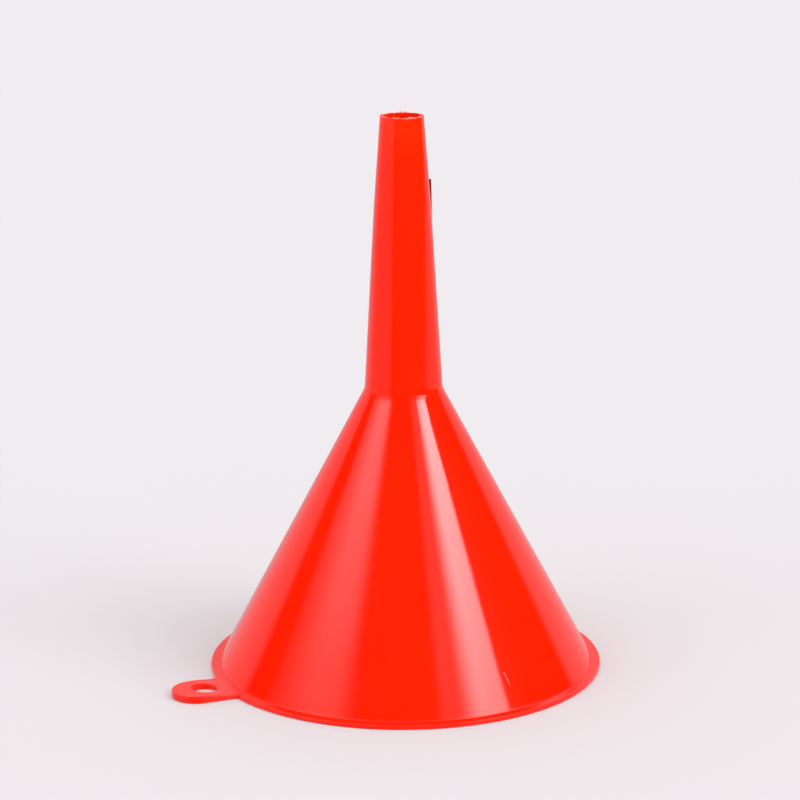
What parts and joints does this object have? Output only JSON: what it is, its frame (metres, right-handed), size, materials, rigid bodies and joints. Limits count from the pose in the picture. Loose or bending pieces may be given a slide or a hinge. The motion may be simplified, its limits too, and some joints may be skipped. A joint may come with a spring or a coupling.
{
  "type": "funnel",
  "caption": "Plain plastic funnel: conical bowl with a flat rim and a holed hanging tab, and a long tapered spout with a vent rib.",
  "frame": {"origin": "centre of the mouth, on the funnel's axis, in the plane that the rim rests on", "axes": "+Z along the funnel's axis from the mouth to the outlet; -X towards the hanging tab, +X towards the vent rib"},
  "size_m": [0.1368, 0.12, 0.17],
  "materials": {
    "red_plastic": "glossy injection-moulded polypropylene, solid red"
  },
  "bodies": {
    "root": {"rim_flange": "red_plastic", "bowl_cone": "red_plastic", "neck_collar": "red_plastic", "spout_barrel": "red_plastic", "outlet_nose": "red_plastic", "vent_rib": "red_plastic", "hanging_tab": "red_plastic"}
  },
  "joints": []
}
